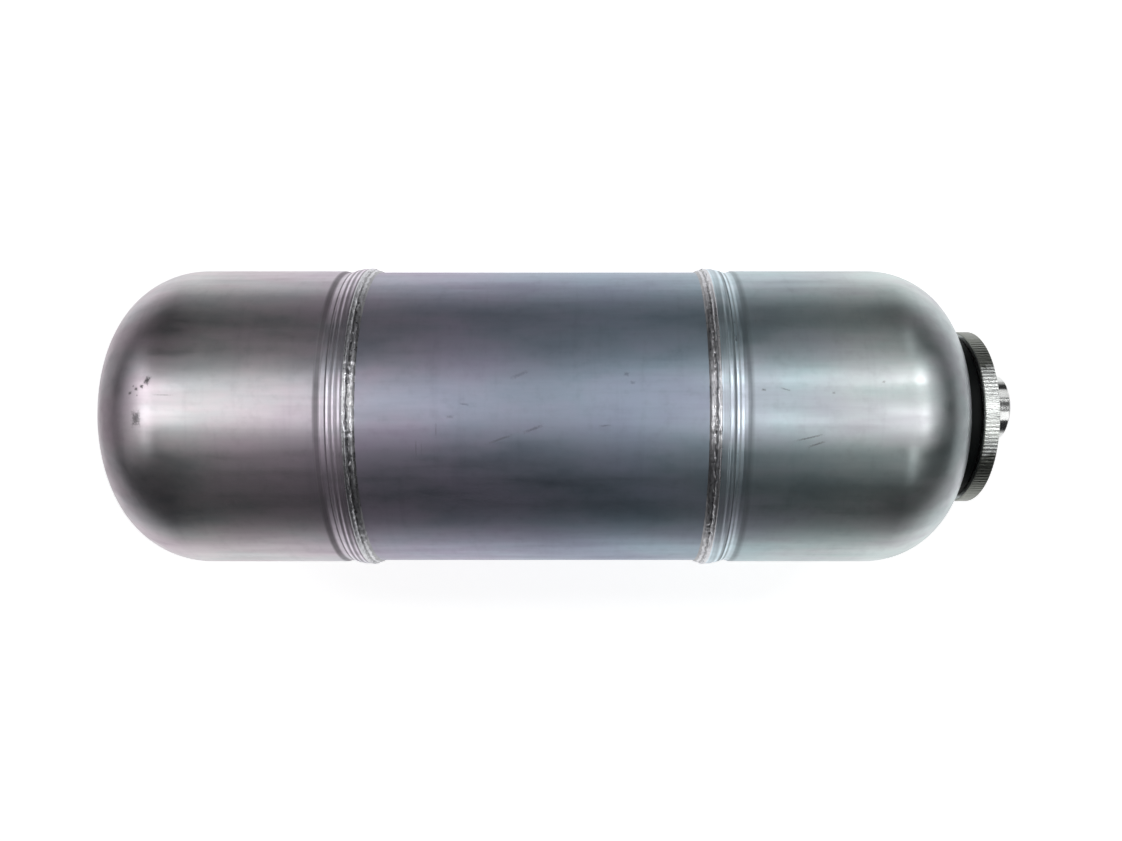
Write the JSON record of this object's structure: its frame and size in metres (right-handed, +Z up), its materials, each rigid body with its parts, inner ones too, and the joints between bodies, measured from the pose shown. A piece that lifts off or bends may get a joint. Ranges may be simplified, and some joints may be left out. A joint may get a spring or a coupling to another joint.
{
  "type": "expansion tank",
  "caption": "Horizontal bare steel expansion tank with two domed heads socketed and welded over a centre tube, and a flange plate with an offset threaded water socket.",
  "frame": {"origin": "on the vessel's axis, at the middle of the centre tube", "axes": "+X along the vessel's axis from the gas valve to the water socket, +Z up, away from the floor under the vessel lying on its side"},
  "size_m": [0.4972, 0.163, 0.163],
  "materials": {
    "head_steel": "satin",
    "tube_steel": "satin",
    "weld_steel": "satin",
    "plate_steel": "cut",
    "socket_steel": "polished",
    "screw_steel": "satin",
    "black_rubber": "matt",
    "valve_brass": "satin",
    "cap_plastic": "matt"
  },
  "bodies": {
    "root": {"left_head": "head_steel", "centre_tube": "tube_steel", "right_head": "head_steel", "left_seam_weld": "weld_steel", "right_seam_weld": "weld_steel", "neck_ring": "plate_steel", "neck_weld": "weld_steel", "bladder": "black_rubber", "end_plate": "plate_steel", "water_socket": "socket_steel", "socket_weld": "weld_steel", "flange_screws": "screw_steel", "valve_bush": "socket_steel", "bush_weld": "weld_steel", "valve_body": "valve_brass", "valve_seal": "black_rubber", "valve_core": "valve_brass", "cap_seal": "black_rubber", "valve_cap": "cap_plastic"}
  },
  "joints": []
}
